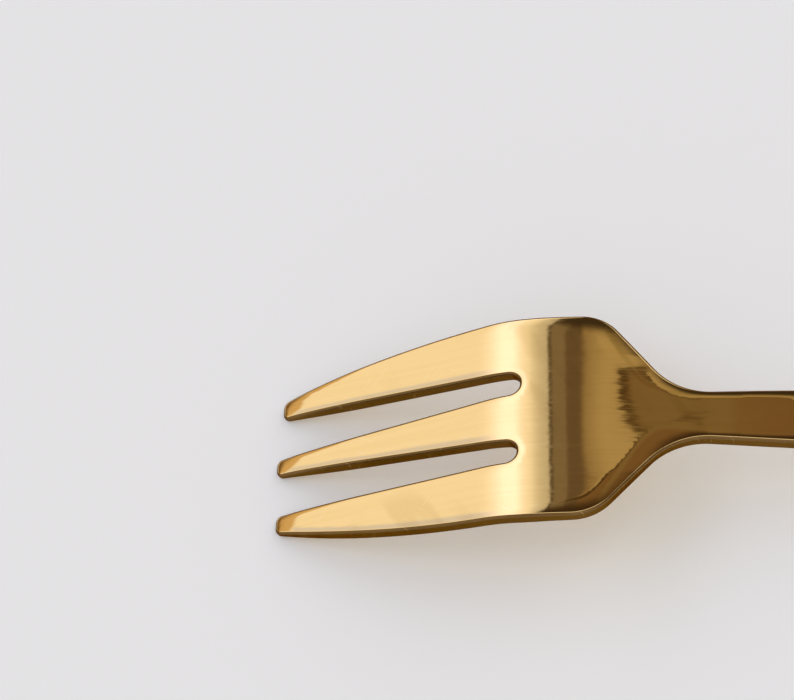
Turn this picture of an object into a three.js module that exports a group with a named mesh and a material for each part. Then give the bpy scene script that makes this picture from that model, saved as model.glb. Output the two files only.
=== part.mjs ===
// A small three-tined fork: one sheet of steel, blanked to its outline, pierced with two slots,
// thinned at the tips, bent along its length and polished, with a thin gold-coloured coat.
// It lies with its back up, resting on the tip of the middle tine and on the level end of the handle.
// X runs from the tips to the handle, Y across the fork, Z up. Sizes are in millimetres and degrees.
// Lengths along the fork are measured on the middle of the sheet from the tip of the middle tine.

import * as THREE from 'three';

// Sheet
const SHEET_THICKNESS = 1.5;
const EDGE_RADIUS = 0.3;

// Tines
const TINE_LENGTH = 25.6;
const MIDDLE_TINE_LEAD = 0.3;
const TIP_WIDTH = 1.75;
const TIP_FLAT_WIDTH = 0.45;
const TIP_THICKNESS = 0.85;
const TIP_TAPER_LENGTH = 9;
const TIP_PITCH = 6.1;
const SLOT_PITCH = 7.2;
const SLOT_WIDTH = 2.2;

// Head
const HEAD_WIDTH = 21.2;
const BRIDGE_LENGTH = 5.3;
const SIDE_STRAIGHT_LENGTH = 3;
const SHOULDER_RADIUS = 4.8;
const SHOULDER_ANGLE = 49;

// Neck and handle
const NECK_WIDTH = 5;
const NECK_RADIUS = 7;
const HANDLE_LENGTH = 111.6;
const HANDLE_WIDTH = 13.2;
const HANDLE_END_DEPTH = 5.5;

// Slopes along the length, positive where the back rises towards the handle
const TINE_SLOPE = 20;
const CREST_SLOPE = 5.4;

// Bends
const CREST_BEND_LENGTH = 3.2;
const HANDLE_BEND_LENGTH = 22;
const LEVEL_END_LENGTH = 15;

// Fineness of the facets
const EDGE_STEPS = 2;
const ROUND_STEPS = 6;
const CORNER_STEPS = 4;
const BEND_STEPS = 6;
const TINE_STEPS = 8;
const LEAST_STEP = 0.03;
const SLOPE_TRIALS = 60;
const STEEPEST_HANDLE = 30;

// Finish of the coat
const COAT_COLOUR = 0xc99a4b;
const COAT_ROUGHNESS = 0.12;

const { PI, sin, cos, tan, sqrt, min, max, hypot, atan2, asin } = Math;
const radians = THREE.MathUtils.degToRad;

// Stations along the fork
const slotCentre = TINE_LENGTH - SLOT_WIDTH / 2;
const landSlotRadius = SLOT_WIDTH / 2 + EDGE_RADIUS;
const landSlotEnd = slotCentre + landSlotRadius;
const shoulderStart = TINE_LENGTH + BRIDGE_LENGTH;
const widest = shoulderStart - SIDE_STRAIGHT_LENGTH;

// Outer edge of the blank: side arc, straight, shoulder arc, slant, neck arc, flare and rounded end
const halfHead = HEAD_WIDTH / 2;
const tipOuter = TIP_PITCH + TIP_WIDTH / 2;
const sideDrop = halfHead - tipOuter;
const sideRadius = (widest ** 2 + sideDrop ** 2) / (2 * sideDrop);
const shoulderTurn = radians(SHOULDER_ANGLE);
const shoulderCentreY = halfHead - SHOULDER_RADIUS;
const neckCentreY = NECK_WIDTH / 2 + NECK_RADIUS;
const slantDrop = shoulderCentreY - neckCentreY + (SHOULDER_RADIUS + NECK_RADIUS) * cos(shoulderTurn);
const slantRun = slantDrop / tan(shoulderTurn);
const slantStart = shoulderStart + SHOULDER_RADIUS * sin(shoulderTurn);
const slantEnd = slantStart + slantRun;
const neckStation = slantEnd + NECK_RADIUS * sin(shoulderTurn);
const handleTip = neckStation + HANDLE_LENGTH;
const endStation = handleTip - HANDLE_END_DEPTH;
const flareRun = endStation - neckStation;
const flareRise = HANDLE_WIDTH / 2 - neckCentreY;
const flareTurn = atan2(flareRise, flareRun) + asin(NECK_RADIUS / hypot(flareRun, flareRise));

// Half-width of the blank at a station, drawn in by an inset square to the edge.
function outerEdge(station, inset) {
  const shoulder = SHOULDER_RADIUS - inset;
  const neck = NECK_RADIUS + inset;
  const shoulderEnd = shoulderStart + shoulder * sin(shoulderTurn);
  const neckStart = neckStation - neck * sin(shoulderTurn);
  const flareStart = neckStation + neck * sin(flareTurn);
  if (station < widest) {
    const along = widest - station;
    return halfHead - sideRadius + sqrt((sideRadius - inset) ** 2 - along ** 2);
  }
  if (station < shoulderStart) return halfHead - inset;
  if (station < shoulderEnd) {
    return shoulderCentreY + sqrt(shoulder ** 2 - (station - shoulderStart) ** 2);
  }
  if (station < neckStart) {
    const slantTop = shoulderCentreY + shoulder * cos(shoulderTurn);
    return slantTop - (station - shoulderEnd) * tan(shoulderTurn);
  }
  if (station < flareStart) {
    return neckCentreY - sqrt(neck ** 2 - (station - neckStation) ** 2);
  }
  const flare = neckCentreY - neck * cos(flareTurn) + (station - flareStart) * tan(flareTurn);
  if (station < endStation) return flare;
  const share = (station - endStation) / (HANDLE_END_DEPTH - inset);
  return flare * sqrt(max(0, 1 - share ** 2));
}

// The two sides of a slot at a station: they spread towards the tips and close in a round end.
function slotEdges(station, inset) {
  const radius = SLOT_WIDTH / 2 + inset;
  const centre = SLOT_PITCH / 2;
  if (station > slotCentre) {
    const half = sqrt(max(0, radius ** 2 - (station - slotCentre) ** 2));
    return { inner: centre - half, outer: centre + half };
  }
  const share = station / slotCentre;
  const tipInner = TIP_WIDTH / 2 - inset;
  const tipOutside = TIP_PITCH - TIP_WIDTH / 2 + inset;
  return {
    inner: THREE.MathUtils.lerp(tipInner, centre - radius, share),
    outer: THREE.MathUtils.lerp(tipOutside, centre + radius, share),
  };
}

// How far a rounded tip corner draws the side in, at a distance from the tip.
function cornerDraw(distance, radius) {
  if (distance >= radius) return 0;
  return radius - sqrt(radius ** 2 - (radius - distance) ** 2);
}

// Side view: runs of even bend, each with its length and the slopes at its two ends.
const crestStart = TINE_LENGTH - CREST_BEND_LENGTH;
const levelStart = handleTip - LEVEL_END_LENGTH;
const handleBendStart = levelStart - HANDLE_BEND_LENGTH;

function sideRuns(handleSlope) {
  return [
    { length: crestStart, from: TINE_SLOPE, to: TINE_SLOPE },
    { length: CREST_BEND_LENGTH, from: TINE_SLOPE, to: CREST_SLOPE },
    { length: slantEnd - TINE_LENGTH, from: CREST_SLOPE, to: handleSlope },
    { length: handleBendStart - slantEnd, from: handleSlope, to: handleSlope },
    { length: HANDLE_BEND_LENGTH, from: handleSlope, to: 0 },
    { length: LEVEL_END_LENGTH, from: 0, to: 0 },
  ];
}

// Place and slope of the middle of the sheet at a station.
function middle(station, runs) {
  let x = 0;
  let z = 0;
  let start = 0;
  let slope = radians(runs[0].from);
  for (const [index, run] of runs.entries()) {
    const last = index === runs.length - 1;
    const done = last ? station - start : min(station - start, run.length);
    const from = radians(run.from);
    const bend = (radians(run.to) - from) / run.length;
    slope = from + bend * done;
    if (bend === 0) {
      x += done * cos(slope);
      z += done * sin(slope);
    } else {
      x += (sin(slope) - sin(from)) / bend;
      z += (cos(from) - cos(slope)) / bend;
    }
    start += run.length;
    if (station <= start) break;
  }
  return { x, z, slope };
}

// Half the thickness at a distance from a tip.
function halfThickness(distance) {
  const share = min(1, max(0, distance / TIP_TAPER_LENGTH));
  return THREE.MathUtils.lerp(TIP_THICKNESS, SHEET_THICKNESS, sin(share * PI / 2)) / 2;
}

// The slope of the handle at which its level end and the middle tip lie on one plane.
function restingSlope() {
  const tip = halfThickness(0) * cos(radians(TINE_SLOPE));
  let low = -STEEPEST_HANDLE;
  let high = STEEPEST_HANDLE;
  for (let trial = 0; trial < SLOPE_TRIALS; trial += 1) {
    const slope = (low + high) / 2;
    const runs = sideRuns(slope);
    const rise = middle(levelStart, runs).z - SHEET_THICKNESS / 2;
    const floor = middle(EDGE_RADIUS, runs).z - tip;
    if (rise > floor) high = slope;
    else low = slope;
  }
  return (low + high) / 2;
}

const runs = sideRuns(restingSlope());

// Evenly spaced stations, ends included.
function spread(from, to, steps) {
  return Array.from({ length: steps + 1 }, (_, step) => from + (to - from) * step / steps);
}

// Stations round a quarter turn, close together at the end where the edge turns across the fork.
function roundOff(square, straight, steps) {
  return spread(0, PI / 2, steps).map((turn) => straight + (square - straight) * sin(turn));
}

// All marks between two stations, in order and at least the least step apart.
function stationsBetween(from, to, marks) {
  const kept = [from];
  for (const mark of marks.toSorted((a, b) => a - b)) {
    if (mark - kept.at(-1) > LEAST_STEP && to - mark > LEAST_STEP) kept.push(mark);
  }
  return [...kept, to];
}

// The flat land of the back is the blank drawn in by the edge radius. Its points are kept once each,
// so that the land, the rounded edge and the wall share them.
const points = [];

function addPoint(station, across, tipDistance) {
  points.push({ station, across, half: halfThickness(tipDistance) });
  return points.length - 1;
}

// Rows of land points from the tip of a tine to the slot ends, each row from low Y to high Y.
function tineRows(tip, lowSide, highSide, lastRow) {
  const landTip = tip + EDGE_RADIUS;
  const landCorner = (TIP_WIDTH - TIP_FLAT_WIDTH) / 2 - EDGE_RADIUS;
  const marks = [
    ...roundOff(landTip, landTip + landCorner, CORNER_STEPS),
    ...spread(landTip + landCorner, slotCentre, TINE_STEPS),
    ...spread(crestStart, TINE_LENGTH, BEND_STEPS),
    ...roundOff(landSlotEnd, slotCentre, ROUND_STEPS),
  ];
  const stations = stationsBetween(landTip, landSlotEnd, marks);
  const rows = stations.slice(0, -1).map((station) => {
    const distance = station - landTip;
    const draw = cornerDraw(distance, landCorner);
    const low = addPoint(station, lowSide(station) + draw, distance);
    const high = addPoint(station, highSide(station) - draw, distance);
    return [low, high];
  });
  return [...rows, lastRow];
}

// Rows of land points from the slot ends to the end of the handle.
function bodyRows(firstRow) {
  const landEnd = handleTip - EDGE_RADIUS;
  const marks = [
    ...spread(TINE_LENGTH, shoulderStart, CORNER_STEPS),
    ...spread(shoulderStart, slantStart, ROUND_STEPS),
    ...spread(slantStart, slantEnd, CORNER_STEPS),
    ...spread(slantEnd, neckStation, ROUND_STEPS),
    ...spread(handleBendStart, levelStart, BEND_STEPS),
    ...roundOff(landEnd, endStation, ROUND_STEPS),
  ];
  const stations = stationsBetween(landSlotEnd, landEnd, marks);
  const rows = stations.slice(1, -1).map((station) => {
    const half = outerEdge(station, EDGE_RADIUS);
    return [addPoint(station, -half, station), addPoint(station, half, station)];
  });
  return [firstRow, ...rows, [addPoint(landEnd, 0, landEnd)]];
}

const slotEndHalf = outerEdge(landSlotEnd, EDGE_RADIUS);
const slotEndRow = [-slotEndHalf, -SLOT_PITCH / 2, SLOT_PITCH / 2, slotEndHalf]
  .map((across) => addPoint(landSlotEnd, across, landSlotEnd));

const middleTine = tineRows(
  0,
  (station) => -slotEdges(station, EDGE_RADIUS).inner,
  (station) => slotEdges(station, EDGE_RADIUS).inner,
  slotEndRow.slice(1, 3),
);
const highTine = tineRows(
  MIDDLE_TINE_LEAD,
  (station) => slotEdges(station, EDGE_RADIUS).outer,
  (station) => outerEdge(station, EDGE_RADIUS),
  slotEndRow.slice(2, 4),
);
const lowTine = tineRows(
  MIDDLE_TINE_LEAD,
  (station) => -outerEdge(station, EDGE_RADIUS),
  (station) => -slotEdges(station, EDGE_RADIUS).outer,
  slotEndRow.slice(0, 2),
);
const body = bodyRows(slotEndRow);

// The outline once round, with the land on its left.
const lowEdge = (rows) => rows.map((row) => row[0]);
const highEdge = (rows) => rows.map((row) => row[row.length - 1]);
const outline = [
  ...highEdge(body).reverse(),
  ...highEdge(highTine).slice(0, -1).reverse(),
  ...lowEdge(highTine),
  ...highEdge(middleTine).slice(0, -1).reverse(),
  ...lowEdge(middleTine),
  ...highEdge(lowTine).slice(0, -1).reverse(),
  ...lowEdge(lowTine),
  ...lowEdge(body).slice(1, -1),
];

// Outward step of an outline point, scaled so that both sides that meet there move by one.
function outwardStep(place) {
  const count = outline.length;
  const here = points[outline[place]];
  const before = points[outline[(place + count - 1) % count]];
  const after = points[outline[(place + 1) % count]];
  const square = (a, b) => {
    const length = hypot(b.station - a.station, b.across - a.across);
    return [(b.across - a.across) / length, (a.station - b.station) / length];
  };
  const [inX, inY] = square(before, here);
  const [outX, outY] = square(here, after);
  const reach = 1 + inX * outX + inY * outY;
  return [(inX + outX) / reach, (inY + outY) / reach];
}

// Bends a flat point into place, at a height above the middle of the sheet.
function bent(station, across, height) {
  const { x, z, slope } = middle(station, runs);
  return [x - height * sin(slope), across, z + height * cos(slope)];
}

// The whole skin: back land, rounded back edge, wall, rounded front edge and front land.
function forkGeometry() {
  const vertices = [];
  const triangles = [];
  const land = (side) => points.map((point) => {
    vertices.push(bent(point.station, point.across, side * point.half));
    return vertices.length - 1;
  });
  const edgeRing = (side, step) => outline.map((index, place) => {
    const { station, across, half } = points[index];
    const [stepX, stepY] = outwardStep(place);
    const turn = PI / 2 * step / EDGE_STEPS;
    const out = EDGE_RADIUS * sin(turn);
    const height = half - EDGE_RADIUS * (1 - cos(turn));
    vertices.push(bent(station + out * stepX, across + out * stepY, side * height));
    return vertices.length - 1;
  });

  const back = land(1);
  const front = land(-1);
  for (const rows of [middleTine, highTine, lowTine, body]) {
    for (let place = 0; place + 1 < rows.length; place += 1) {
      for (const [a, b, c] of rowTriangles(rows[place], rows[place + 1])) {
        triangles.push(back[a], back[b], back[c], front[a], front[c], front[b]);
      }
    }
  }

  const steps = spread(1, EDGE_STEPS, EDGE_STEPS - 1);
  const rings = [
    outline.map((index) => back[index]),
    ...steps.map((step) => edgeRing(1, step)),
    ...steps.reverse().map((step) => edgeRing(-1, step)),
    outline.map((index) => front[index]),
  ];
  for (let level = 0; level + 1 < rings.length; level += 1) {
    const upper = rings[level];
    const lower = rings[level + 1];
    for (let place = 0; place < outline.length; place += 1) {
      const next = (place + 1) % outline.length;
      triangles.push(upper[place], lower[place], lower[next]);
      triangles.push(upper[place], lower[next], upper[next]);
    }
  }

  const geometry = new THREE.BufferGeometry();
  geometry.setAttribute('position', new THREE.Float32BufferAttribute(vertices.flat(), 3));
  geometry.setIndex(triangles);
  return geometry;
}

// Triangles between two neighbouring rows of land points, facing up.
function rowTriangles(near, far) {
  const found = [];
  let low = 0;
  let high = 0;
  while (low + 1 < near.length || high + 1 < far.length) {
    const nearShare = low + 1 < near.length ? (low + 1) / near.length : 1;
    const farShare = high + 1 < far.length ? (high + 1) / far.length : 1;
    if (farShare <= nearShare && high + 1 < far.length) {
      found.push([near[low], far[high], far[high + 1]]);
      high += 1;
    } else {
      found.push([near[low], far[high], near[low + 1]]);
      low += 1;
    }
  }
  return found;
}

const coat = new THREE.MeshStandardMaterial({
  color: COAT_COLOUR,
  roughness: COAT_ROUGHNESS,
  metalness: 1,
});

const geometry = forkGeometry();
geometry.computeBoundingBox();
const box = geometry.boundingBox;
geometry.translate(-(box.min.x + box.max.x) / 2, 0, -box.min.z);
geometry.computeVertexNormals();

const fork = new THREE.Mesh(geometry, coat);
fork.name = 'fork';

const part = new THREE.Group();
part.add(fork);

export default part;
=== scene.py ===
"""Looks of a small three-tined fork: one sheet of polished steel with a gold-coloured coat.

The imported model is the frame. The fork's visible skin is built here with the same outline and bends, but with
finer facets, soft edges and polishing marks. It lies back up on a plain floor. Blender works in metres; the
sizes of the sheet are written in millimetres and turned into metres when the skin is placed.
"""

import logging
import math
from dataclasses import astuple, dataclass, field
from enum import Enum
from typing import TypeAlias

import bpy
import numpy as np
from mathutils import Matrix, Vector
from mathutils.geometry import delaunay_2d_cdt


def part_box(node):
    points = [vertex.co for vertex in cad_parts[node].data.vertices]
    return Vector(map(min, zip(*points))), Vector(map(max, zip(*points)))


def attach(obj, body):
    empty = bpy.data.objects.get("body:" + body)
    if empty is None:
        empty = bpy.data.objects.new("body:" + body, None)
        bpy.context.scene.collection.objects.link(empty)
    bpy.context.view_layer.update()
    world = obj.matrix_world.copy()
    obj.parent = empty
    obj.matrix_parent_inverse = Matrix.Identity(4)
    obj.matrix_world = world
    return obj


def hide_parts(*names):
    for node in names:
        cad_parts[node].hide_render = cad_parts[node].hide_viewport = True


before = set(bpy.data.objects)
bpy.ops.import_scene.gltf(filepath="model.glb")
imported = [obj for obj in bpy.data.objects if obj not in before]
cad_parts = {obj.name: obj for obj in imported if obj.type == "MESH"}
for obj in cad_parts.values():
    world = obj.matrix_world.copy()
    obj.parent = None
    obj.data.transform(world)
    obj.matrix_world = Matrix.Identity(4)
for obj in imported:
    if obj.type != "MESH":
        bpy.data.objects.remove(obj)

log = logging.getLogger("fork")

MM = 0.001
CAD_NODE = "fork"
CAD_BODY = "root"
# Y part of a direction at which the slanted edges of a light panel keep their lean.
SLANT_SIDE = 0.5
# Places of the factor, the two colours and the result on a colour Mix node.
MIX_INPUTS = (0, 6, 7)
MIX_RESULT = 2
# The triangulation keeps what lies inside the outline and merges points that are closer than this.
FILL_INSIDE = 1
FILL_TOLERANCE = 1e-6

Pair: TypeAlias = tuple[float, float]
Triple: TypeAlias = tuple[float, float, float]
Socket: TypeAlias = bpy.types.NodeSocket
Feed: TypeAlias = Socket | float | tuple[float, ...]


class Side(Enum):
    """The side of the sheet that a land lies on; the value is the sign of its height."""

    BACK = 1
    FRONT = -1


class Zone(Enum):
    """Parts of the skin with a polish of their own; the value is the material's place on the mesh."""

    LAND = 0
    # The edge's coat is rougher and darkened with painted shade.
    EDGE = 1


def quarter_turn(steps: int) -> np.ndarray:
    """Angles from 0 to a right angle.

    Args:
        steps: Number of equal steps.

    Returns:
        The steps + 1 angles in radians.
    """
    return np.linspace(0.0, math.pi / 2, steps + 1)


def evenly(start: float, end: float, step: float) -> np.ndarray:
    """Evenly spaced values, both ends included.

    Args:
        start: First value.
        end: Last value.
        step: Largest distance between neighbours.

    Returns:
        The values from start to end.
    """
    count = max(1, math.ceil(abs(end - start) / step))
    return np.linspace(start, end, count + 1)


@dataclass(frozen=True)
class Blank:
    """Plan outline of the flat sheet in millimetres. Stations run from the middle tip to the handle's end."""

    tine_length: float = 25.6
    middle_lead: float = 0.3
    tip_width: float = 1.75
    tip_flat: float = 0.45
    tip_pitch: float = 6.1
    slot_pitch: float = 7.2
    slot_width: float = 2.2
    head_width: float = 21.2
    bridge_length: float = 5.3
    side_straight: float = 3.0
    shoulder_radius: float = 4.8
    shoulder_turn: float = math.radians(49.0)
    neck_width: float = 5.0
    neck_radius: float = 7.0
    handle_length: float = 111.6
    handle_width: float = 13.2
    end_depth: float = 5.5
    head_step: float = 0.35
    handle_step: float = 1.0
    fine_reach: float = 3.0
    round_steps: int = 28
    corner_steps: int = 6

    @property
    def slot_centre(self) -> float:
        """Station of the centre of the slots' round ends."""
        return self.tine_length - self.slot_width / 2

    @property
    def shoulder_start(self) -> float:
        """Station where the straight sides of the head end."""
        return self.tine_length + self.bridge_length

    @property
    def slant_end(self) -> float:
        """Station where the shoulders turn into the neck."""
        turn = self.shoulder_turn
        shoulder_y = self.head_width / 2 - self.shoulder_radius
        neck_y = self.neck_width / 2 + self.neck_radius
        drop = shoulder_y - neck_y + (self.shoulder_radius + self.neck_radius) * math.cos(turn)
        return self.shoulder_start + self.shoulder_radius * math.sin(turn) + drop / math.tan(turn)

    @property
    def neck_station(self) -> float:
        """Station where the neck is narrowest."""
        return self.slant_end + self.neck_radius * math.sin(self.shoulder_turn)

    @property
    def fine_end(self) -> float:
        """Station where the fine facets of the head end."""
        return self.neck_station + self.fine_reach

    @property
    def handle_tip(self) -> float:
        """Station of the end of the handle."""
        return self.neck_station + self.handle_length

    @property
    def end_station(self) -> float:
        """Station where the rounded end of the handle starts."""
        return self.handle_tip - self.end_depth

    @property
    def flare_turn(self) -> float:
        """Angle in plan between the handle's edge and the fork's axis."""
        run = self.end_station - self.neck_station
        rise = self.handle_width / 2 - self.neck_width / 2 - self.neck_radius
        return math.atan2(rise, run) + math.asin(self.neck_radius / math.hypot(run, rise))

    def outer_edge(self, station: np.ndarray, inset: float) -> np.ndarray:
        """Half-width of the sheet before the rounded end of the handle.

        Args:
            station: Stations to look at.
            inset: Distance by which the edge is drawn in.

        Returns:
            The half-widths.
        """
        half = self.head_width / 2
        widest = self.shoulder_start - self.side_straight
        drop = half - (self.tip_pitch + self.tip_width / 2)
        arc = (widest**2 + drop**2) / (2 * drop)
        shoulder = self.shoulder_radius - inset
        shoulder_y = half - self.shoulder_radius
        neck = self.neck_radius + inset
        neck_y = self.neck_width / 2 + self.neck_radius
        turn = self.shoulder_turn
        flare_turn = self.flare_turn
        shoulder_end = self.shoulder_start + shoulder * math.sin(turn)
        neck_start = self.neck_station - neck * math.sin(turn)
        flare_start = self.neck_station + neck * math.sin(flare_turn)

        side = half - arc + np.sqrt((arc - inset) ** 2 - np.minimum(station - widest, 0) ** 2)
        past = np.clip(station - self.shoulder_start, 0, shoulder * math.sin(turn))
        round_shoulder = shoulder_y + np.sqrt(shoulder**2 - past**2)
        slant = shoulder_y + shoulder * math.cos(turn) - (station - shoulder_end) * math.tan(turn)
        along = np.clip(station - self.neck_station, -neck * math.sin(turn), neck * math.sin(flare_turn))
        round_neck = neck_y - np.sqrt(neck**2 - along**2)
        flare = neck_y - neck * math.cos(flare_turn) + (station - flare_start) * math.tan(flare_turn)
        ends = (self.shoulder_start, shoulder_end, neck_start, flare_start)
        limits = [station < end for end in ends]
        return np.select(limits, [side, round_shoulder, slant, round_neck], flare)

    def slot_sides(self, station: np.ndarray, inset: float) -> tuple[np.ndarray, np.ndarray]:
        """Straight sides of a slot: they spread towards the tips.

        Args:
            station: Stations up to the slot's round end.
            inset: Distance by which the steel's edge is drawn in.

        Returns:
            The side towards the axis and the side away from it.
        """
        radius = self.slot_width / 2 + inset
        share = station / self.slot_centre
        inner = (1 - share) * (self.tip_width / 2 - inset) + share * (self.slot_pitch / 2 - radius)
        outer_tip = self.tip_pitch - self.tip_width / 2 + inset
        outer = (1 - share) * outer_tip + share * (self.slot_pitch / 2 + radius)
        return inner, outer

    def half_outline(self, inset: float) -> np.ndarray:
        """Outline on the +Y side, from the end of the handle to the tip of the middle tine.

        Args:
            inset: Distance by which the edge is drawn in.

        Returns:
            Points (station, across), with the steel on the left.
        """
        corner = (self.tip_width - self.tip_flat) / 2 - inset
        bow = quarter_turn(self.corner_steps)
        back = corner * (1 - np.sin(bow))
        draw = corner * (1 - np.cos(bow))
        outer_tip = self.middle_lead + inset
        turn = quarter_turn(self.round_steps)
        end = self.end_station + (self.end_depth - inset) * np.cos(turn)
        runs = [(end, self.outer_edge(end, inset) * np.sin(turn))]

        stations = np.concatenate(
            (
                evenly(self.end_station, self.fine_end, self.handle_step)[1:],
                evenly(self.fine_end, outer_tip + corner, self.head_step)[1:-1],
            )
        )
        runs.append((stations, self.outer_edge(stations, inset)))
        stations = outer_tip + back
        runs.append((stations, self.outer_edge(stations, inset) - draw))
        stations = stations[::-1]
        runs.append((stations, self.slot_sides(stations, inset)[1] + draw[::-1]))
        stations = evenly(outer_tip + corner, self.slot_centre, self.head_step)[1:-1]
        runs.append((stations, self.slot_sides(stations, inset)[1]))

        radius = self.slot_width / 2 + inset
        turn = np.linspace(math.pi / 2, -math.pi / 2, 2 * self.round_steps + 1)
        slot_end = self.slot_centre + radius * np.cos(turn)
        runs.append((slot_end, self.slot_pitch / 2 + radius * np.sin(turn)))
        stations = evenly(self.slot_centre, inset + corner, self.head_step)[1:-1]
        runs.append((stations, self.slot_sides(stations, inset)[0]))
        stations = inset + back
        runs.append((stations, self.slot_sides(stations, inset)[0] - draw))
        return np.concatenate([np.column_stack(run) for run in runs])

    def outline(self, inset: float) -> np.ndarray:
        """Whole outline of the sheet, once round, with the steel on the left.

        Args:
            inset: Distance by which the edge is drawn in.

        Returns:
            Points (station, across).
        """
        half = self.half_outline(inset)
        half[0, 1] = 0.0
        mirrored = half[:0:-1] * (1.0, -1.0)
        return np.concatenate((half, mirrored))

    def holds(self, points: np.ndarray, inset: float) -> np.ndarray:
        """Which points lie on the steel.

        Args:
            points: Points (station, across).
            inset: Distance by which the edge is drawn in.

        Returns:
            True for each point inside the drawn-in outline.
        """
        station = points[:, 0]
        across = np.abs(points[:, 1])
        share = np.clip((station - self.end_station) / (self.end_depth - inset), 0, 1)
        inside = across < self.outer_edge(station, inset) * np.sqrt(1 - share**2)
        inner, outer = self.slot_sides(np.minimum(station, self.slot_centre), inset)
        radius = self.slot_width / 2 + inset
        in_slot = (station < self.slot_centre) & (across > inner) & (across < outer)
        in_slot |= np.hypot(station - self.slot_centre, across - self.slot_pitch / 2) < radius
        tip = np.where(across > outer, self.middle_lead, 0.0) + inset
        return inside & ~in_slot & (station > tip)


@dataclass(frozen=True)
class Bend:
    """Side view of the sheet: runs of even bend along the stations, in millimetres and radians."""

    blank: Blank
    tine_slope: float = math.radians(20.0)
    crest_slope: float = math.radians(5.4)
    crest_length: float = 3.2
    handle_bend: float = 22.0
    level_end: float = 15.0
    steepest: float = math.radians(30.0)
    trials: int = 60
    polish_reach: float = 1.6
    polish_taps: int = 9
    polish_skew: float = 0.06

    def runs(self, handle_slope: float) -> list[tuple[float, float, float]]:
        """Runs from the tip to the end of the handle.

        Args:
            handle_slope: Slope of the straight handle.

        Returns:
            Length, first slope and last slope of each run.
        """
        crest = self.blank.tine_length - self.crest_length
        bend_start = self.blank.handle_tip - self.level_end - self.handle_bend
        return [
            (crest, self.tine_slope, self.tine_slope),
            (self.crest_length, self.tine_slope, self.crest_slope),
            (self.blank.slant_end - self.blank.tine_length, self.crest_slope, handle_slope),
            (bend_start - self.blank.slant_end, handle_slope, handle_slope),
            (self.handle_bend, handle_slope, 0.0),
            (self.level_end, 0.0, 0.0),
        ]

    def middle(self, station: np.ndarray, handle_slope: float) -> tuple[np.ndarray, np.ndarray, np.ndarray]:
        """Place and slope of the middle of the sheet.

        Args:
            station: Stations to look at.
            handle_slope: Slope of the straight handle.

        Returns:
            X and Z from the tip, and the slope.
        """
        x = np.zeros_like(station)
        z = np.zeros_like(station)
        slope = np.full_like(station, self.tine_slope)
        start = 0.0
        runs = self.runs(handle_slope)
        for place, (length, first, last) in enumerate(runs):
            low = -np.inf if place == 0 else 0.0
            high = np.inf if place == len(runs) - 1 else length
            done = np.clip(station - start, low, high)
            bend = (last - first) / length
            here = first + bend * done
            if bend == 0:
                x += done * math.cos(first)
                z += done * math.sin(first)
            else:
                x += (np.sin(here) - math.sin(first)) / bend
                z += (math.cos(first) - np.cos(here)) / bend
            slope = np.where(station > start, here, slope)
            start += length
        return x, z, slope

    def polished_slope(self, station: np.ndarray, handle_slope: float) -> np.ndarray:
        """Slope of the polished surface, where polishing has eased the ends of the bends.

        Args:
            station: Stations to look at.
            handle_slope: Slope of the straight handle.

        Returns:
            The slopes.
        """
        shifts = np.linspace(-self.polish_reach, self.polish_reach, self.polish_taps)
        return np.mean([self.middle(station + shift, handle_slope)[2] for shift in shifts], axis=0)

    def resting_slope(self, sheet: "Sheet") -> float:
        """Slope of the handle at which its level end and the middle tip lie on one plane.

        Args:
            sheet: Thickness of the sheet.

        Returns:
            The slope in radians.
        """
        tip = sheet.tip_thickness / 2 * math.cos(self.tine_slope)
        level_start = np.array([self.blank.handle_tip - self.level_end])
        tip_station = np.array([sheet.edge_radius])
        low = -self.steepest
        high = self.steepest
        for _ in range(self.trials):
            slope = (low + high) / 2
            rise = self.middle(level_start, slope)[1][0] - sheet.thickness / 2
            if rise > self.middle(tip_station, slope)[1][0] - tip:
                high = slope
            else:
                low = slope
        return (low + high) / 2


@dataclass(frozen=True)
class Roll:
    """Soft fall of a land towards its edge at one station, in millimetres.

    Tilt is the slope at the edge. The fall is as wide as near on the -Y side and as far on the +Y side.
    """

    station: float
    tilt: float
    near: float
    far: float


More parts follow.
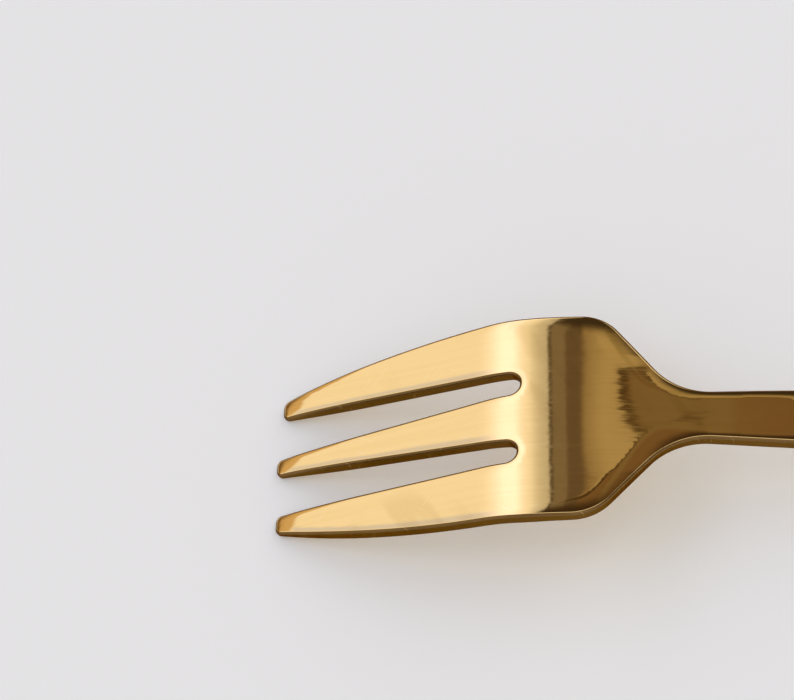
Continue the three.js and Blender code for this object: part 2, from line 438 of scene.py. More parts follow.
@dataclass(frozen=True)
class Sheet:
    """Thickness of the sheet and the soft relief that polishing leaves on it, in millimetres."""

    thickness: float = 1.5
    edge_radius: float = 0.3
    tip_thickness: float = 0.85
    tip_taper: float = 9.0
    nose_depth: float = 0.12
    nose_length: float = 2.8
    hollow_stations: Pair = (31.0, 46.0)
    hollow_half_width: float = 6.0
    hollow_bend: float = 0.004
    rolls: tuple[Roll, ...] = (
        Roll(10.0, 0.12, 0.5, 0.5),
        Roll(20.0, 0.12, 0.8, 0.8),
        Roll(27.5, 0.12, 0.5, 0.5),
        Roll(31.0, 0.12, 1.8, 2.4),
        Roll(36.5, 0.12, 1.85, 2.2),
        Roll(38.5, 0.13, 2.0, 1.4),
        Roll(41.5, 0.13, 1.3, 0.8),
        Roll(43.5, 0.13, 0.55, 0.35),
        Roll(48.5, 0.13, 0.5, 0.35),
        Roll(53.0, 0.17, 0.8, 1.2),
        Roll(62.0, 0.17, 1.2, 1.2),
    )

    def half(self, tip_distance: np.ndarray) -> tuple[np.ndarray, np.ndarray]:
        """Half the thickness before the relief.

        Args:
            tip_distance: Distances from the tip of the tine.

        Returns:
            The half-thickness and its change along the tine.
        """
        share = np.clip(tip_distance / self.tip_taper, 0, 1) * math.pi / 2
        gain = (self.thickness - self.tip_thickness) / 2
        rate = gain * np.cos(share) * math.pi / 2 / self.tip_taper
        return self.tip_thickness / 2 + gain * np.sin(share), np.where(tip_distance > 0, rate, 0.0)

    def nose(self, tip_distance: np.ndarray) -> tuple[np.ndarray, np.ndarray]:
        """Fall of the back over the last stretch of a tine.

        Args:
            tip_distance: Distances from the tip of the tine.

        Returns:
            The fall and its change along the tine.
        """
        left = np.clip(1 - tip_distance / self.nose_length, 0, 1)
        return self.nose_depth * left**2, -2 * self.nose_depth * left / self.nose_length

    def hollow(self, station: np.ndarray, across: np.ndarray) -> tuple[np.ndarray, np.ndarray, np.ndarray]:
        """Slight hollow of the back where the head runs into the neck.

        Args:
            station: Stations of the points.
            across: Their places across the fork.

        Returns:
            The fall and its changes along and across the fork.
        """
        start, end = self.hollow_stations
        turn = np.clip((station - start) / (end - start), 0, 1) * 2 * math.pi
        share = (1 - np.cos(turn)) / 2
        rate = np.sin(turn) * math.pi / (end - start)
        near = np.minimum(np.abs(across), self.hollow_half_width)
        depth = self.hollow_bend / 2 * (self.hollow_half_width**2 - near**2)
        across_rate = np.where(np.abs(across) < self.hollow_half_width, -self.hollow_bend * across, 0.0)
        return depth * share, depth * rate, across_rate * share

    def roll(
        self, station: np.ndarray, across: np.ndarray, edge_distance: np.ndarray
    ) -> tuple[np.ndarray, np.ndarray]:
        """Fall of a land towards its edge.

        Args:
            station: Stations of the points.
            across: Their places across the fork.
            edge_distance: Their distances from the edge of the land.

        Returns:
            The fall and its change with the distance.
        """
        stations, *columns = zip(*map(astuple, self.rolls))
        tilt, near, far = (np.interp(station, stations, column) for column in columns)
        width = np.where(across > 0, far, near)
        left = np.clip(1 - edge_distance / width, 0, 1)
        return tilt * width / 2 * left**2, -tilt * left


class Tree:
    """A node tree with short ways to add and link nodes."""

    def __init__(self, tree: bpy.types.NodeTree) -> None:
        """Starts from an empty tree.

        Args:
            tree: The tree to fill.
        """
        self.tree = tree
        tree.nodes.clear()

    def node(self, kind: str, **settings: object) -> bpy.types.Node:
        """Adds a node.

        Args:
            kind: Type name of the node.
            **settings: Properties to set on it.

        Returns:
            The node.
        """
        made = self.tree.nodes.new(kind)
        for name, value in settings.items():
            setattr(made, name, value)
        return made

    def feed(self, socket: Socket, value: Feed) -> None:
        """Links an output to an input, or sets the input. A plain colour is made opaque.

        Args:
            socket: The input.
            value: An output socket or a plain value.
        """
        if isinstance(value, bpy.types.NodeSocket):
            self.tree.links.new(value, socket)
        elif socket.type == "RGBA":
            socket.default_value = (*value, 1.0)
        else:
            socket.default_value = value

    def fill(self, node: bpy.types.Node, values: dict[str, Feed]) -> None:
        """Feeds several inputs of a node.

        Args:
            node: The node.
            values: Output sockets or plain values by the names of the inputs.
        """
        for name, value in values.items():
            self.feed(node.inputs[name], value)

    def maths(self, operation: str, *values: Feed, clamp: bool = False) -> Socket:
        """Adds a Math node.

        Args:
            operation: The node's operation.
            *values: Output sockets or numbers for its inputs.
            clamp: Whether the result is kept between 0 and 1.

        Returns:
            Its output.
        """
        made = self.node("ShaderNodeMath", operation=operation, use_clamp=clamp)
        for socket, value in zip(made.inputs, values):
            self.feed(socket, value)
        return made.outputs[0]

    def ramp(self, value: Feed, start: float, end: float, low: float = 0.0, high: float = 1.0) -> Socket:
        """Adds a smooth Map Range node.

        Args:
            value: The value to map.
            start: Value that gives low.
            end: Value that gives high.
            low: Result at start.
            high: Result at end.

        Returns:
            Its output.
        """
        made = self.node("ShaderNodeMapRange", interpolation_type="SMOOTHSTEP")
        self.fill(made, {"Value": value, "From Min": start, "From Max": end, "To Min": low, "To Max": high})
        return made.outputs["Result"]

    def mix(self, share: Feed, first: Feed, second: Feed, label: str = "") -> Socket:
        """Adds a colour mix.

        Args:
            share: Share of the second colour.
            first: Colour at share 0.
            second: Colour at share 1.
            label: What the second colour stands for.

        Returns:
            The mixed colour.
        """
        made = self.node("ShaderNodeMix", data_type="RGBA", label=label)
        for place, value in zip(MIX_INPUTS, (share, first, second)):
            self.feed(made.inputs[place], value)
        return made.outputs[MIX_RESULT]

    def stretched(self, scale: Triple = (1.0, 1.0, 1.0), turn: float = 0.0) -> Socket:
        """Adds object coordinates, turned about Z and scaled.

        Args:
            scale: Scale along each axis.
            turn: Turn about Z in radians.

        Returns:
            The coordinates.
        """
        place = self.node("ShaderNodeTexCoord")
        mapping = self.node("ShaderNodeMapping", vector_type="TEXTURE")
        sizes = tuple(1 / value for value in scale)
        self.fill(mapping, {"Vector": place.outputs["Object"], "Rotation": (0.0, 0.0, turn), "Scale": sizes})
        return mapping.outputs["Vector"]

    def noise(self, scale: Triple, detail: float, rough: float = 0.5, turn: float = 0.0) -> Socket:
        """Adds a noise texture over the object.

        Args:
            scale: Its scale along each axis, per metre.
            detail: Its detail.
            rough: Its roughness.
            turn: Its turn about Z in radians.

        Returns:
            The noise value.
        """
        made = self.node("ShaderNodeTexNoise")
        place = self.stretched(scale, turn)
        self.fill(made, {"Vector": place, "Scale": 1.0, "Detail": detail, "Roughness": rough})
        return made.outputs[0]

    def effect(self, group: bpy.types.NodeTree, amount: float) -> bpy.types.Node:
        """Adds a shared effect.

        Args:
            group: The effect's node group.
            amount: How much of it shows.

        Returns:
            The group's node.
        """
        made = self.node("ShaderNodeGroup", node_tree=group)
        self.feed(made.inputs["Amount"], amount)
        return made


class GroupTree(Tree):
    """A shared shader effect as a node group with an amount."""

    def __init__(self, name: str, *outputs: str) -> None:
        """Makes the group's sockets.

        Args:
            name: Name of the group.
            *outputs: Names of its number outputs.
        """
        group = bpy.data.node_groups.new(name, "ShaderNodeTree")
        super().__init__(group)
        amount = group.interface.new_socket("Amount", in_out="INPUT", socket_type="NodeSocketFloat")
        amount.default_value = 1.0
        for key in outputs:
            group.interface.new_socket(key, in_out="OUTPUT", socket_type="NodeSocketFloat")
        self.amount = self.node("NodeGroupInput").outputs["Amount"]
        self.result = self.node("NodeGroupOutput").inputs

    def give(self, name: str, value: Feed) -> None:
        """Sends a value, times the amount, to an output.

        Args:
            name: Name of the output.
            value: The value.
        """
        self.feed(self.result[name], self.maths("MULTIPLY", value, self.amount))


@dataclass
class Effects:
    """Node groups that the materials share.

    Lines, patches and cells are noise scales per metre, and runs are a turn in radians with a scale along it.
    A mask rises from 0 to 1 over its range of noise values.
    """

    fine_lines: Triple = (120.0, 3600.0, 120.0)
    broad_lines: Triple = (420.0, 1100.0, 420.0)
    fine_share: float = 0.12
    dull_range: Pair = (0.45, 0.75)
    streak_lines: Triple = (38.0, 1500.0, 38.0)
    streak_range: Pair = (0.35, 0.7)
    hairline_runs: tuple[Pair, ...] = ((0.12, 130.0), (-0.5, 210.0), (0.9, 260.0))
    hairline_lines: Pair = (5200.0, 900.0)
    hairline_range: Pair = (0.735, 0.79)
    hairline_patches: Triple = (170.0, 170.0, 170.0)
    hairline_patch_range: Pair = (0.5, 0.62)
    speck_cells: float = 620.0
    speck_range: Pair = (0.86, 1.0)
    speck_size: float = 0.07
    smear_turn: float = -0.95
    smear_lines: Triple = (90.0, 420.0, 90.0)
    smear_range: Pair = (0.46, 0.66)
    smear_patches: Triple = (75.0, 75.0, 75.0)
    smear_patch_range: Pair = (0.44, 0.62)
    grain: bpy.types.NodeTree = field(init=False)
    hairlines: bpy.types.NodeTree = field(init=False)
    specks: bpy.types.NodeTree = field(init=False)
    smears: bpy.types.NodeTree = field(init=False)

    def __post_init__(self) -> None:
        """Makes the groups."""
        self.grain = self._grain()
        self.hairlines = self._hairlines()
        self.specks = self._specks()
        self.smears = self._smears()

    def _grain(self) -> bpy.types.NodeTree:
        """Polishing lines along the fork.

        Returns:
            A group with the lines' height, their dullness and the mask of the darker streaks.
        """
        made = GroupTree("lengthwise_grain", "Height", "Dullness", "Streak")
        fine = made.noise(self.fine_lines, detail=2.0, rough=0.6)
        broad = made.noise(self.broad_lines, detail=1.0)
        fine_part = made.maths("MULTIPLY", fine, self.fine_share)
        broad_part = made.maths("MULTIPLY", broad, 1 - self.fine_share)
        made.give("Height", made.maths("ADD", fine_part, broad_part))
        made.give("Dullness", made.ramp(fine, *self.dull_range))
        streak = made.noise(self.streak_lines, detail=4.0, rough=0.65)
        made.give("Streak", made.ramp(streak, *self.streak_range))
        return made.tree

    def _hairlines(self) -> bpy.types.NodeTree:
        """Sparse fine scratches in a few directions.

        Returns:
            A group with the scratches' mask.
        """
        made = GroupTree("hairline_marks", "Mask")
        total: Feed = 0.0
        for turn, along in self.hairline_runs:
            lines = made.noise((along, *self.hairline_lines), detail=0.0, turn=turn)
            here = made.noise(self.hairline_patches, detail=1.0, turn=turn)
            line = made.ramp(lines, *self.hairline_range)
            line = made.maths("MULTIPLY", line, made.ramp(here, *self.hairline_patch_range))
            total = made.maths("MAXIMUM", total, line)
        made.give("Mask", total)
        return made.tree

    def _specks(self) -> bpy.types.NodeTree:
        """Tiny dust specks, a few to the square centimetre.

        Returns:
            A group with the specks' mask.
        """
        made = GroupTree("fine_specks", "Mask")
        cells = made.node("ShaderNodeTexVoronoi", feature="F1")
        made.fill(cells, {"Vector": made.stretched(), "Scale": self.speck_cells})
        chosen = made.node("ShaderNodeSeparateColor")
        made.feed(chosen.inputs[0], cells.outputs["Color"])
        size = made.ramp(chosen.outputs[0], *self.speck_range, 0.0, self.speck_size)
        made.give("Mask", made.maths("LESS_THAN", cells.outputs["Distance"], size))
        return made.tree

    def _smears(self) -> bpy.types.NodeTree:
        """Faint slanting smears left by wiping.

        Returns:
            A group with the smears' mask.
        """
        made = GroupTree("wiping_smears", "Mask")
        strokes = made.noise(self.smear_lines, detail=2.0, turn=self.smear_turn)
        here = made.noise(self.smear_patches, detail=0.0)
        smear = made.ramp(strokes, *self.smear_range)
        made.give("Mask", made.maths("MULTIPLY", smear, made.ramp(here, *self.smear_patch_range)))
        return made.tree


@dataclass(frozen=True)
class CoatFinish:
    """The gold-coloured coat with one kind of polish. On the edges its dark colours are painted shade."""

    name: str
    colour: Triple
    streak_colour: Triple
    smear_colour: Triple
    grazing_colour: Triple
    worn_colour: Triple
    roughness: float
    dull_roughness: float
    grain: float
    grain_depth: float
    hairlines: float
    specks: float
    smears: float

    def material(self, effects: Effects) -> bpy.types.Material:
        """Makes the material.

        Args:
            effects: The shared effects.

        Returns:
            The material.
        """
        made = bpy.data.materials.new(self.name)
        made.use_nodes = True
        tree = Tree(made.node_tree)
        grain = tree.effect(effects.grain, self.grain)
        marks = tree.effect(effects.hairlines, self.hairlines)
        dust = tree.effect(effects.specks, self.specks)
        smears = tree.effect(effects.smears, self.smears)

        worn = tree.maths("MAXIMUM", marks.outputs["Mask"], dust.outputs["Mask"])
        tone = tree.mix(grain.outputs["Streak"], self.colour, self.streak_colour, "streaks")
        tone = tree.mix(smears.outputs["Mask"], tone, self.smear_colour, "smears")
        tone = tree.mix(worn, tone, self.worn_colour, "worn")
        dull = tree.maths("MAXIMUM", grain.outputs["Dullness"], worn, clamp=True)
        spread = self.dull_roughness - self.roughness
        bump = tree.node("ShaderNodeBump")
        tree.fill(bump, {"Strength": 1.0, "Distance": self.grain_depth, "Height": grain.outputs["Height"]})
        shine = tree.node("ShaderNodeBsdfPrincipled")
        settings = {
            "Base Color": tone,
            "Metallic": 1.0,
            "Specular Tint": self.grazing_colour,
            "Roughness": tree.maths("MULTIPLY_ADD", dull, spread, self.roughness),
            "Normal": bump.outputs["Normal"],
        }
        tree.fill(shine, settings)
        out = tree.node("ShaderNodeOutputMaterial")
        tree.feed(out.inputs["Surface"], shine.outputs[0])
        return made


@dataclass(frozen=True)
class Land:
    """The flat part of one side of the sheet, inside its rounded edges.

    Points are (station, across). Each has a distance from the edge and a unit direction away from it.
    Triangles are point numbers, and loop holds the points on the edge in the order of the outline.
    """

    points: np.ndarray
    distance: np.ndarray
    away: np.ndarray
    triangles: list[list[int]]
    loop: list[int]


@dataclass
class ForkSkin:
    """The visible fork: lands, rounded edges and wall of the bent sheet."""

    blank: Blank
    bend: Bend
    sheet: Sheet
    name: str = "fork_skin"
    edge_steps: int = 6
    polished_steps: int = 1
    head_grid: float = 0.42
    handle_grid: float = 0.9
    grid_margin: float = 0.22
    outline: np.ndarray = field(init=False)
    outward: np.ndarray = field(init=False)
    inward: np.ndarray = field(init=False)

    def __post_init__(self) -> None:
        """Traces the outline of the land."""
        self.outline = self.blank.outline(self.sheet.edge_radius)
        self.outward = self._outward()
        self.inward = -self.outward / np.linalg.norm(self.outward, axis=1, keepdims=True)

    def _outward(self) -> np.ndarray:
        """Outward steps of the outline's points, scaled so that both sides that meet there move by one.

        Returns:
            One step for each point.
        """
        ahead = np.roll(self.outline, -1, axis=0) - self.outline
        square = np.column_stack((ahead[:, 1], -ahead[:, 0]))
        square /= np.linalg.norm(square, axis=1, keepdims=True)
        before = np.roll(square, 1, axis=0)
        reach = 1 + (square * before).sum(axis=1, keepdims=True)
        return (square + before) / reach

    def _inner_points(self) -> np.ndarray:
        """Points spread over the land, away from its edge.

        Returns:
            Points (station, across) on two grids, a fine one for the head and a coarse one for the handle.
        """
        found = []
        change = self.blank.fine_end
        half_width = self.blank.head_width / 2
        spans = ((0.0, change, self.head_grid), (change, self.blank.handle_tip, self.handle_grid))
        for start, end, step in spans:
            stations = np.arange(start + step / 2, end, step)
            across = np.arange(0.0, half_width, step)
            across = np.concatenate((-across[:0:-1], across))
            grid = np.stack(np.meshgrid(stations, across, indexing="ij"), axis=-1).reshape(-1, 2)
            margin = self.sheet.edge_radius + self.grid_margin * (step / self.head_grid)
            found.append(grid[self.blank.holds(grid, margin)])
        return np.concatenate(found)

    def _edge_distance(self, points: np.ndarray) -> tuple[np.ndarray, np.ndarray]:
        """Distance of points from the outline and the direction away from it.

        Args:
            points: Points (station, across) on the land.

        Returns:
            The distances and unit directions.
        """
        start = self.outline
        along = np.roll(start, -1, axis=0) - start
        length = (along**2).sum(axis=1)
        distance = np.empty(len(points))
        away = np.empty_like(points)
        for place, point in enumerate(points):
            share = np.clip(((point - start) * along).sum(axis=1) / length, 0, 1)
            gap = point - start - along * share[:, None]
            reach = (gap**2).sum(axis=1)
            nearest = int(reach.argmin())
            distance[place] = math.sqrt(reach[nearest])
            away[place] = gap[nearest] / distance[place]
        return distance, away

    def _tip_distance(self, points: np.ndarray) -> np.ndarray:
        """Distance of points from the tip of their tine, measured from the land's edge.

        Args:
            points: Points (station, across).

        Returns:
            The distances.
        """
        on_outer = np.abs(points[:, 1]) > self.blank.slot_pitch / 2
        tip = np.where(on_outer, self.blank.middle_lead, 0.0) + self.sheet.edge_radius
        return points[:, 0] - tip

    def _surface(
        self, points: np.ndarray, distance: np.ndarray, away: np.ndarray, side: Side
    ) -> tuple[np.ndarray, np.ndarray, np.ndarray]:
        """Height of the land over the middle of the sheet, and its slopes.

        Args:
            points: Points (station, across).
            distance: Their distances from the edge.
            away: Unit directions away from the edge.
            side: The side of the sheet.

        Returns:
            Heights without sign, and their changes along and across the fork.
        """
        tip = self._tip_distance(points)
        height, along = self.sheet.half(tip)
        across = np.zeros_like(height)
        fall, rate = self.sheet.roll(points[:, 0], points[:, 1], distance)
        height = height - fall
        along = along - rate * away[:, 0]
        across = across - rate * away[:, 1]
        if side is Side.BACK:
            drop, change = self.sheet.nose(tip)
            dip, dip_along, dip_across = self.sheet.hollow(points[:, 0], points[:, 1])
            height = height - drop - dip
            along = along - change - dip_along
            across = across - dip_across
        return height, along, across

    def _bent(self, flat: np.ndarray, normals: np.ndarray) -> tuple[np.ndarray, np.ndarray]:
        """Bends flat points into place.

        Args:
            flat: Points (station, across, height).
            normals: Normals on the flat sheet.

        Returns:
            Points and unit normals in millimetres, measured from the tip.
        """
        slope_of_handle = self.bend.resting_slope(self.sheet)
        x, z, slope = self.bend.middle(flat[:, 0], slope_of_handle)
        points = np.column_stack((x - flat[:, 2] * np.sin(slope), flat[:, 1], z + flat[:, 2] * np.cos(slope)))
        eased = self.bend.polished_slope(flat[:, 0] + self.bend.polish_skew * flat[:, 1], slope_of_handle)
        sine = np.sin(eased)
        cosine = np.cos(eased)
        turned = np.column_stack(
            (
                normals[:, 0] * cosine - normals[:, 2] * sine,
                normals[:, 1],
                normals[:, 0] * sine + normals[:, 2] * cosine,
            )
        )
        return points, turned / np.linalg.norm(turned, axis=1, keepdims=True)

    def _edge_ring(self, side: Side, turn: float) -> tuple[np.ndarray, np.ndarray]:
        """One ring of the rounded edge.

        Args:
            side: The side of the sheet.
            turn: Angle from the land, a right angle at the wall.

        Returns:
            Flat points (station, across, height) and their normals.
        """
        distance = np.zeros(len(self.outline))
        height, along, across = self._surface(self.outline, distance, self.inward, side)
        tilt = np.arctan(np.hypot(along, across))
        lean = tilt + (math.pi / 2 - tilt) * turn / (math.pi / 2)
        out = self.outline + self.outward * self.sheet.edge_radius * math.sin(turn)
        height = height - self.sheet.edge_radius * (1 - math.cos(turn))
        flat = np.column_stack((out, side.value * height))
        sideways = -self.inward * np.sin(lean)[:, None]
        return flat, np.column_stack((sideways, side.value * np.cos(lean)))

    def _land(self) -> Land:
        """Fills the outline with triangles.

        Returns:
            The land, the same for both sides.
        """
        inner = self._inner_points()
        points = np.concatenate((self.outline, inner))
        count = len(self.outline)
        ring = list(range(count))
        edges = list(zip(ring, ring[1:] + ring[:1]))
        flat_points = [Vector(point) for point in points.tolist()]
        filled = delaunay_2d_cdt(flat_points, edges, [], FILL_INSIDE, FILL_TOLERANCE)
        triangles = filled[2]
        origin = [places[0] for places in filled[3]]
        where = {old: new for new, old in enumerate(origin)}
        loop = [where[place] for place in ring]
        log.info("land: %d points, %d triangles", len(origin), len(triangles))

        distance, away = self._edge_distance(inner)
        distance = np.concatenate((np.zeros(count), distance))
        away = np.concatenate((self.inward, away))
        return Land(points[origin], distance[origin], away[origin], triangles, loop)

    def _shape(self) -> tuple[np.ndarray, np.ndarray, list[tuple[int, ...]], list[int]]:
        """Points, normals, faces and zones of the whole skin.

        Returns:
            Points and normals in millimetres, faces as point numbers, and the zone of each face.
        """
        land = self._land()
        count = len(self.outline)
        flats = []
        normals = []
        faces: list[tuple[int, ...]] = []
        rings: list[list[int]] = []
        total = 0
        for side in Side:
            height, along, across = self._surface(land.points, land.distance, land.away, side)
            flats.append(np.column_stack((land.points, side.value * height)))
            normals.append(np.column_stack((-along, -across, np.full(len(height), float(side.value)))))
            faces += [tuple(total + place for place in face[:: side.value]) for face in land.triangles]
            side_rings = [[total + place for place in land.loop]]
            total += len(height)
            for turn in quarter_turn(self.edge_steps)[1:]:
                flat, normal = self._edge_ring(side, float(turn))
                flats.append(flat)
                normals.append(normal)
                side_rings.append(list(range(total, total + count)))
                total += count
            rings += side_rings[:: side.value]
        zones = [Zone.LAND.value] * len(faces)
        strips = list(zip(rings, rings[1:]))
        for level, (upper, lower) in enumerate(strips):
            # Past the rim's first steps, the rounded edge and the wall take the edge coat, which is darkened
            # with painted shade.
            on_rim = min(level, len(strips) - 1 - level) < self.polished_steps
            for place in range(count):
                after = (place + 1) % count
                faces.append((upper[place], lower[place], lower[after], upper[after]))
                zones.append(Zone.LAND.value if on_rim else Zone.EDGE.value)
        points, turned = self._bent(np.concatenate(flats), np.concatenate(normals))
        return points, turned, faces, zones

    def build(self) -> bpy.types.Object:
        """Builds the skin in the frame's place.

        Returns:
            The mesh object.
        """
        points, normals, faces, zones = self._shape()
        low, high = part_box(CAD_NODE)
        points = points * MM
        points[:, 0] += (low.x + high.x) / 2 - (points[:, 0].min() + points[:, 0].max()) / 2
        points[:, 2] += low.z - points[:, 2].min()
        mesh = bpy.data.meshes.new(self.name)
        mesh.from_pydata(points.tolist(), [], faces)
        mesh.polygons.foreach_set("material_index", zones)
        mesh.polygons.foreach_set("use_smooth", [True] * len(faces))
        mesh.update()
        mesh.normals_split_custom_set_from_vertices(normals.tolist())
        skin = bpy.data.objects.new(self.name, mesh)
        bpy.context.scene.collection.objects.link(skin)
        return skin

    def dress(self, skin: bpy.types.Object, land: CoatFinish, edge: CoatFinish, effects: Effects) -> None:
        """Gives the skin its materials and ties it to the frame.

        Args:
            skin: The mesh object.
            land: Finish of the back and the front.
            edge: Coat of the rounded edges and the wall, with a satin polish and dark colours that are painted
                shade.
            effects: The shared effects.
        """
        skin.data.materials.append(land.material(effects))
        skin.data.materials.append(edge.material(effects))
        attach(skin, CAD_BODY)
        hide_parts(CAD_NODE)


@dataclass(frozen=True)
class Panel:
    """A soft light panel of the studio dome. A later panel covers the earlier ones.

    Lean is the angle from straight up towards +X in degrees, and side is the Y part of the direction. Past
    the ends of lean and side the panel fades over the soft widths. Its two lean edges hold at SLANT_SIDE and
    move by their slant for each unit of side away from it. Upper is the largest Z part of its directions.
    """

    name: str
    colour: Triple
    lean: Pair
    lean_soft: Pair
    side: Pair = (-0.2, 0.85)
    side_soft: float = 0.15
    slant: Pair = (0.0, 0.0)
    upper: float = 1.2
    upper_soft: float = 0.1

    def cover(self, tree: Tree, lean: Socket, side: Socket, height: Socket) -> Socket:
        """Adds the nodes that tell where the panel is.

        Args:
            tree: The dome's nodes.
            lean: Lean of a direction.
            side: Its Y part.
            height: Its Z part.

        Returns:
            The panel's share of the colour in that direction.
        """
        beside = tree.maths("SUBTRACT", side, SLANT_SIDE)
        from_low, from_high = (
            tree.maths("SUBTRACT", lean, tree.maths("MULTIPLY", beside, slant)) for slant in self.slant
        )
        low, high = self.lean
        near, far = self.side
        share = tree.ramp(from_low, low - self.lean_soft[0], low)
        limits = (
            tree.ramp(from_high, high, high + self.lean_soft[1], 1.0, 0.0),
            tree.ramp(side, near - self.side_soft, near),
            tree.ramp(side, far, far + self.side_soft, 1.0, 0.0),
            tree.ramp(height, 0.0, self.upper_soft),
            tree.ramp(height, self.upper, self.upper + self.upper_soft, 1.0, 0.0),
        )
        for limit in limits:
            share = tree.maths("MULTIPLY", share, limit)
        return share


@dataclass(frozen=True)
class Studio:
    """Plain floor, light dome and camera."""

    floor_size: float = 6.0
    floor_colour: Triple = (0.85, 0.86, 0.86)
    floor_roughness: float = 0.9
    floor_gloss: float = 0.1
    floor_glow: float = 0.12
    dome_colour: Triple = (0.19, 0.115, 0.052)
    horizon_colour: Triple = (0.75, 0.74, 0.72)
    horizon_top: float = 0.14
    panels: tuple[Panel, ...] = (
        Panel("nose_glow", (0.72, 0.53, 0.3), (-63.0, -45.0), (12.0, 2.0), (0.1, 1.1)),
        Panel("tine_face", (1.06, 1.05, 1.06), (-58.8, -14.6), (2.6, 0.2), (-0.2, 1.1), slant=(8.0, 0.0)),
        Panel("tine_shade", (0.8, 0.84, 1.1), (-59.0, -38.0), (3.0, 5.0), (0.2, 0.36), 0.1),
        Panel("crest_peak", (1.5, 1.51, 1.95), (-29.0, -26.0), (20.0, 8.0)),
        Panel("crest_fall", (0.64, 0.62, 0.58), (-15.1, -14.6), (3.8, 0.2)),
        Panel("crest_line", (0.1, 0.075, 0.045), (-14.5, -14.0), (0.1, 0.2)),
        Panel("band_start", (0.22, 0.175, 0.115), (-13.8, -11.7), (0.2, 0.6)),
        Panel("band_dark", (0.14, 0.1, 0.06), (-11.4, -9.0), (0.4, 1.0)),
        Panel("head_start", (0.31, 0.235, 0.125), (-7.4, -3.0), (2.0, 0.5), (0.484, 1.1), 0.004),
        Panel("neck_tone", (0.214, 0.15, 0.07), (0.8, 2.5), (1.2, 1.5)),
        Panel("neck_near", (0.08, 0.05, 0.019), (0.4, 0.9), (0.1, 1.2), (0.405, 0.5), 0.004, (140.0, 95.0)),
        Panel("neck_far", (0.085, 0.054, 0.02), (0.4, 0.8), (0.1, 1.2), (0.5, 0.58), 0.004, (122.0, 122.0)),
        Panel("head_near", (0.44, 0.35, 0.195), (-3.4, 0.2), (5.4, 0.2), (-0.2, 0.5), 0.004, (25.0, 140.0)),
        Panel("head_far", (0.44, 0.35, 0.195), (-3.4, 0.2), (5.4, 0.2), (0.5, 1.1), 0.004, (25.0, 122.0)),
        Panel("handle_light", (0.36, 0.28, 0.14), (2.4, 3.9), (1.5, 2.5), (0.55, 0.8), 0.03),
        Panel("far_shade", (0.05, 0.035, 0.02), (-13.0, 12.0), (2.0, 5.0), (0.66, 1.1), 0.1),
        Panel("near_shade", (0.05, 0.03, 0.014), (-13.0, 35.0), (1.5, 4.0), (0.22, 0.28), 0.14, (8.0, 0.0)),
        Panel("overhead", (0.92, 0.91, 0.89), (-16.0, 36.0), (6.0, 6.0), (-0.95, 0.0), 0.07),
        Panel("front_left", (0.9, 0.89, 0.87), (-78.0, -34.0), (8.0, 6.0), (-0.9, -0.3), 0.1),
        Panel("back_right", (1.2, 1.19, 1.17), (25.0, 78.0), (8.0, 6.0), (0.15, 0.92), 0.08),
        Panel("low_right", (0.95, 0.94, 0.92), (40.0, 95.0), (6.0, 1.0), (-1.1, 0.1), 0.1, upper=0.34),
    )
    lens: float = 288.0
    distance: float = 0.6
    clip_start: float = 0.01
    picture_width: float = 794.0
    picture_height: float = 700.0
    sensor_width: float = 36.0
    tip_pixel: Pair = (277.3, 470.0)
    view_lean: float = math.radians(10.2)
    view_elevation: float = math.radians(60.0)
    view_roll: float = math.radians(3.6)

    def floor(self) -> None:
        """Makes the pale floor, which glows a little where it is seen."""
        half = self.floor_size / 2
        mesh = bpy.data.meshes.new("floor")
        corners = [(-half, -half, 0.0), (half, -half, 0.0), (half, half, 0.0), (-half, half, 0.0)]
        mesh.from_pydata(corners, [], [(0, 1, 2, 3)])
        floor = bpy.data.objects.new("floor", mesh)
        bpy.context.scene.collection.objects.link(floor)
        paint = bpy.data.materials.new("floor_paint")
        paint.use_nodes = True
        tree = Tree(paint.node_tree)
        ray = tree.node("ShaderNodeLightPath").outputs
        seen = tree.maths("MAXIMUM", ray["Is Camera Ray"], ray["Is Glossy Ray"])
        seen = tree.maths("MAXIMUM", seen, ray["Is Transmission Ray"])
        matt = tree.node("ShaderNodeBsdfPrincipled")
        settings = {
            "Base Color": self.floor_colour,
            "Roughness": self.floor_roughness,
            "Specular IOR Level": self.floor_gloss,
            "Emission Color": self.floor_colour,
            "Emission Strength": tree.maths("MULTIPLY", seen, self.floor_glow),
        }
        tree.fill(matt, settings)
        out = tree.node("ShaderNodeOutputMaterial")
        tree.feed(out.inputs["Surface"], matt.outputs[0])
        mesh.materials.append(paint)

    def dome(self) -> None:
        """Lights the scene from a dim dome with soft panels and a pale horizon."""
        world = bpy.data.worlds.new("studio_dome")
        bpy.context.scene.world = world
        world.use_nodes = True
        tree = Tree(world.node_tree)
        place = tree.node("ShaderNodeTexCoord")
        parts = tree.node("ShaderNodeSeparateXYZ")
        tree.feed(parts.inputs[0], place.outputs["Generated"])
        forward, side, height = parts.outputs
        lean = tree.maths("DEGREES", tree.maths("ARCTAN2", forward, height))
        colour: Feed = self.dome_colour
        for panel in self.panels:
            colour = tree.mix(panel.cover(tree, lean, side, height), colour, panel.colour, panel.name)
        low_sky = tree.ramp(height, self.horizon_top / 2, self.horizon_top, 1.0, 0.0)
        colour = tree.mix(low_sky, colour, self.horizon_colour, "horizon")
        sky = tree.node("ShaderNodeBackground")
        tree.feed(sky.inputs["Color"], colour)
        out = tree.node("ShaderNodeOutputWorld")
        tree.feed(out.inputs["Surface"], sky.outputs[0])

    def camera(self, tip: Vector) -> None:
        """Sets the camera at the photo's angle.

        Args:
            tip: The tip of the middle tine, which falls on its pixel in the photo.
        """
        lean = Matrix.Rotation(self.view_lean, 3, "Y")
        right = Vector((1.0, 0.0, 0.0))
        towards = Vector((0.0, -math.cos(self.view_elevation), math.sin(self.view_elevation)))
        upward = towards.cross(right)
        roll = Matrix.Rotation(self.view_roll, 3, towards)
        right, upward, towards = (lean @ (roll @ axis) for axis in (right, upward, towards))

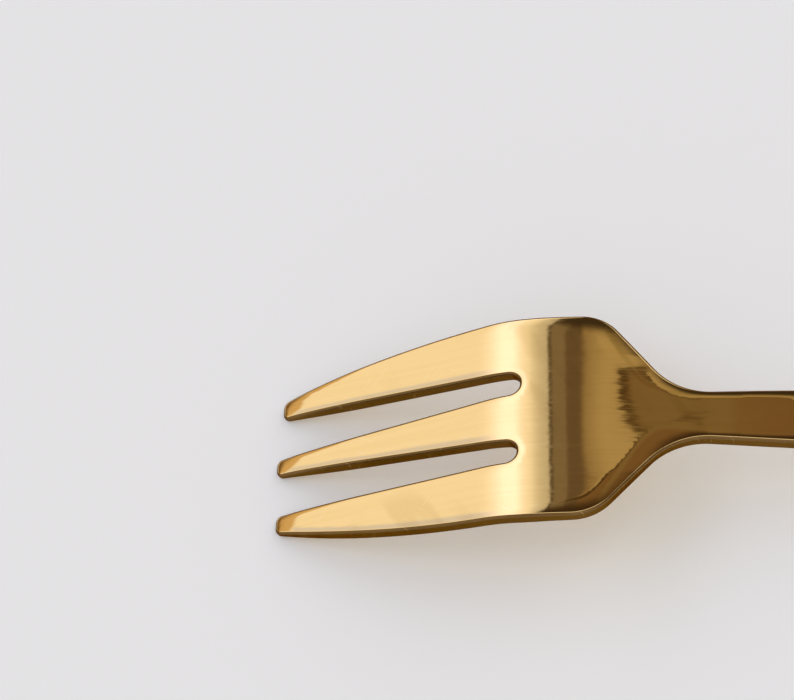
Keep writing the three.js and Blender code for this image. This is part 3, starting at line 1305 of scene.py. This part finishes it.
        data = bpy.data.cameras.new("camera")
        data.sensor_width = self.sensor_width
        data.lens = self.lens
        data.clip_start = self.clip_start
        pixel = self.sensor_width / self.picture_width / self.lens * self.distance
        off_right = (self.tip_pixel[0] - self.picture_width / 2) * pixel
        off_up = (self.picture_height / 2 - self.tip_pixel[1]) * pixel
        target = tip - right * off_right - upward * off_up
        camera = bpy.data.objects.new("camera", data)
        bpy.context.scene.collection.objects.link(camera)
        axes = Matrix((right, upward, towards)).transposed().to_4x4()
        camera.matrix_world = Matrix.Translation(target + towards * self.distance) @ axes
        bpy.context.scene.camera = camera


MIRROR_COAT = CoatFinish(
    name="mirror_coat",
    colour=(0.89, 0.635, 0.29),
    streak_colour=(0.86, 0.607, 0.268),
    smear_colour=(0.78, 0.545, 0.235),
    grazing_colour=(0.95, 0.85, 0.65),
    worn_colour=(0.9, 0.7, 0.4),
    roughness=0.04,
    dull_roughness=0.075,
    grain=1.0,
    grain_depth=0.000003,
    hairlines=0.4,
    specks=0.5,
    smears=0.8,
)
# Coat of the rounded edges and the wall. Its dark brown colours are painted shade, the dark that a mirror wall
# would reflect; its rougher satin polish is the coat's own.
SHADED_SATIN_EDGE = CoatFinish(
    name="satin_edge_painted_shade",
    colour=(0.22, 0.127, 0.045),
    streak_colour=(0.17, 0.097, 0.032),
    smear_colour=(0.18, 0.103, 0.035),
    grazing_colour=(0.42, 0.28, 0.14),
    worn_colour=(0.7, 0.48, 0.22),
    roughness=0.25,
    dull_roughness=0.35,
    grain=1.0,
    grain_depth=0.000004,
    hairlines=0.2,
    specks=0.3,
    smears=0.3,
)


def main() -> None:
    """Builds the fork, its studio and its camera, and notes the sizes."""
    logging.basicConfig(level=logging.INFO, format="%(name)s: %(message)s")
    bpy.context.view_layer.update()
    scene = bpy.context.scene
    scene.view_settings.view_transform = "Standard"

    blank = Blank()
    fork = ForkSkin(blank, Bend(blank), Sheet())
    skin = fork.build()
    fork.dress(skin, MIRROR_COAT, SHADED_SATIN_EDGE, Effects())
    log.info("%s: %d points, %d faces", skin.name, len(skin.data.vertices), len(skin.data.polygons))

    studio = Studio()
    studio.floor()
    studio.dome()
    tip = min((vertex.co for vertex in skin.data.vertices), key=lambda place: place.x)
    studio.camera(Vector((tip.x, 0.0, tip.z)))


if __name__ == "__main__":
    main()
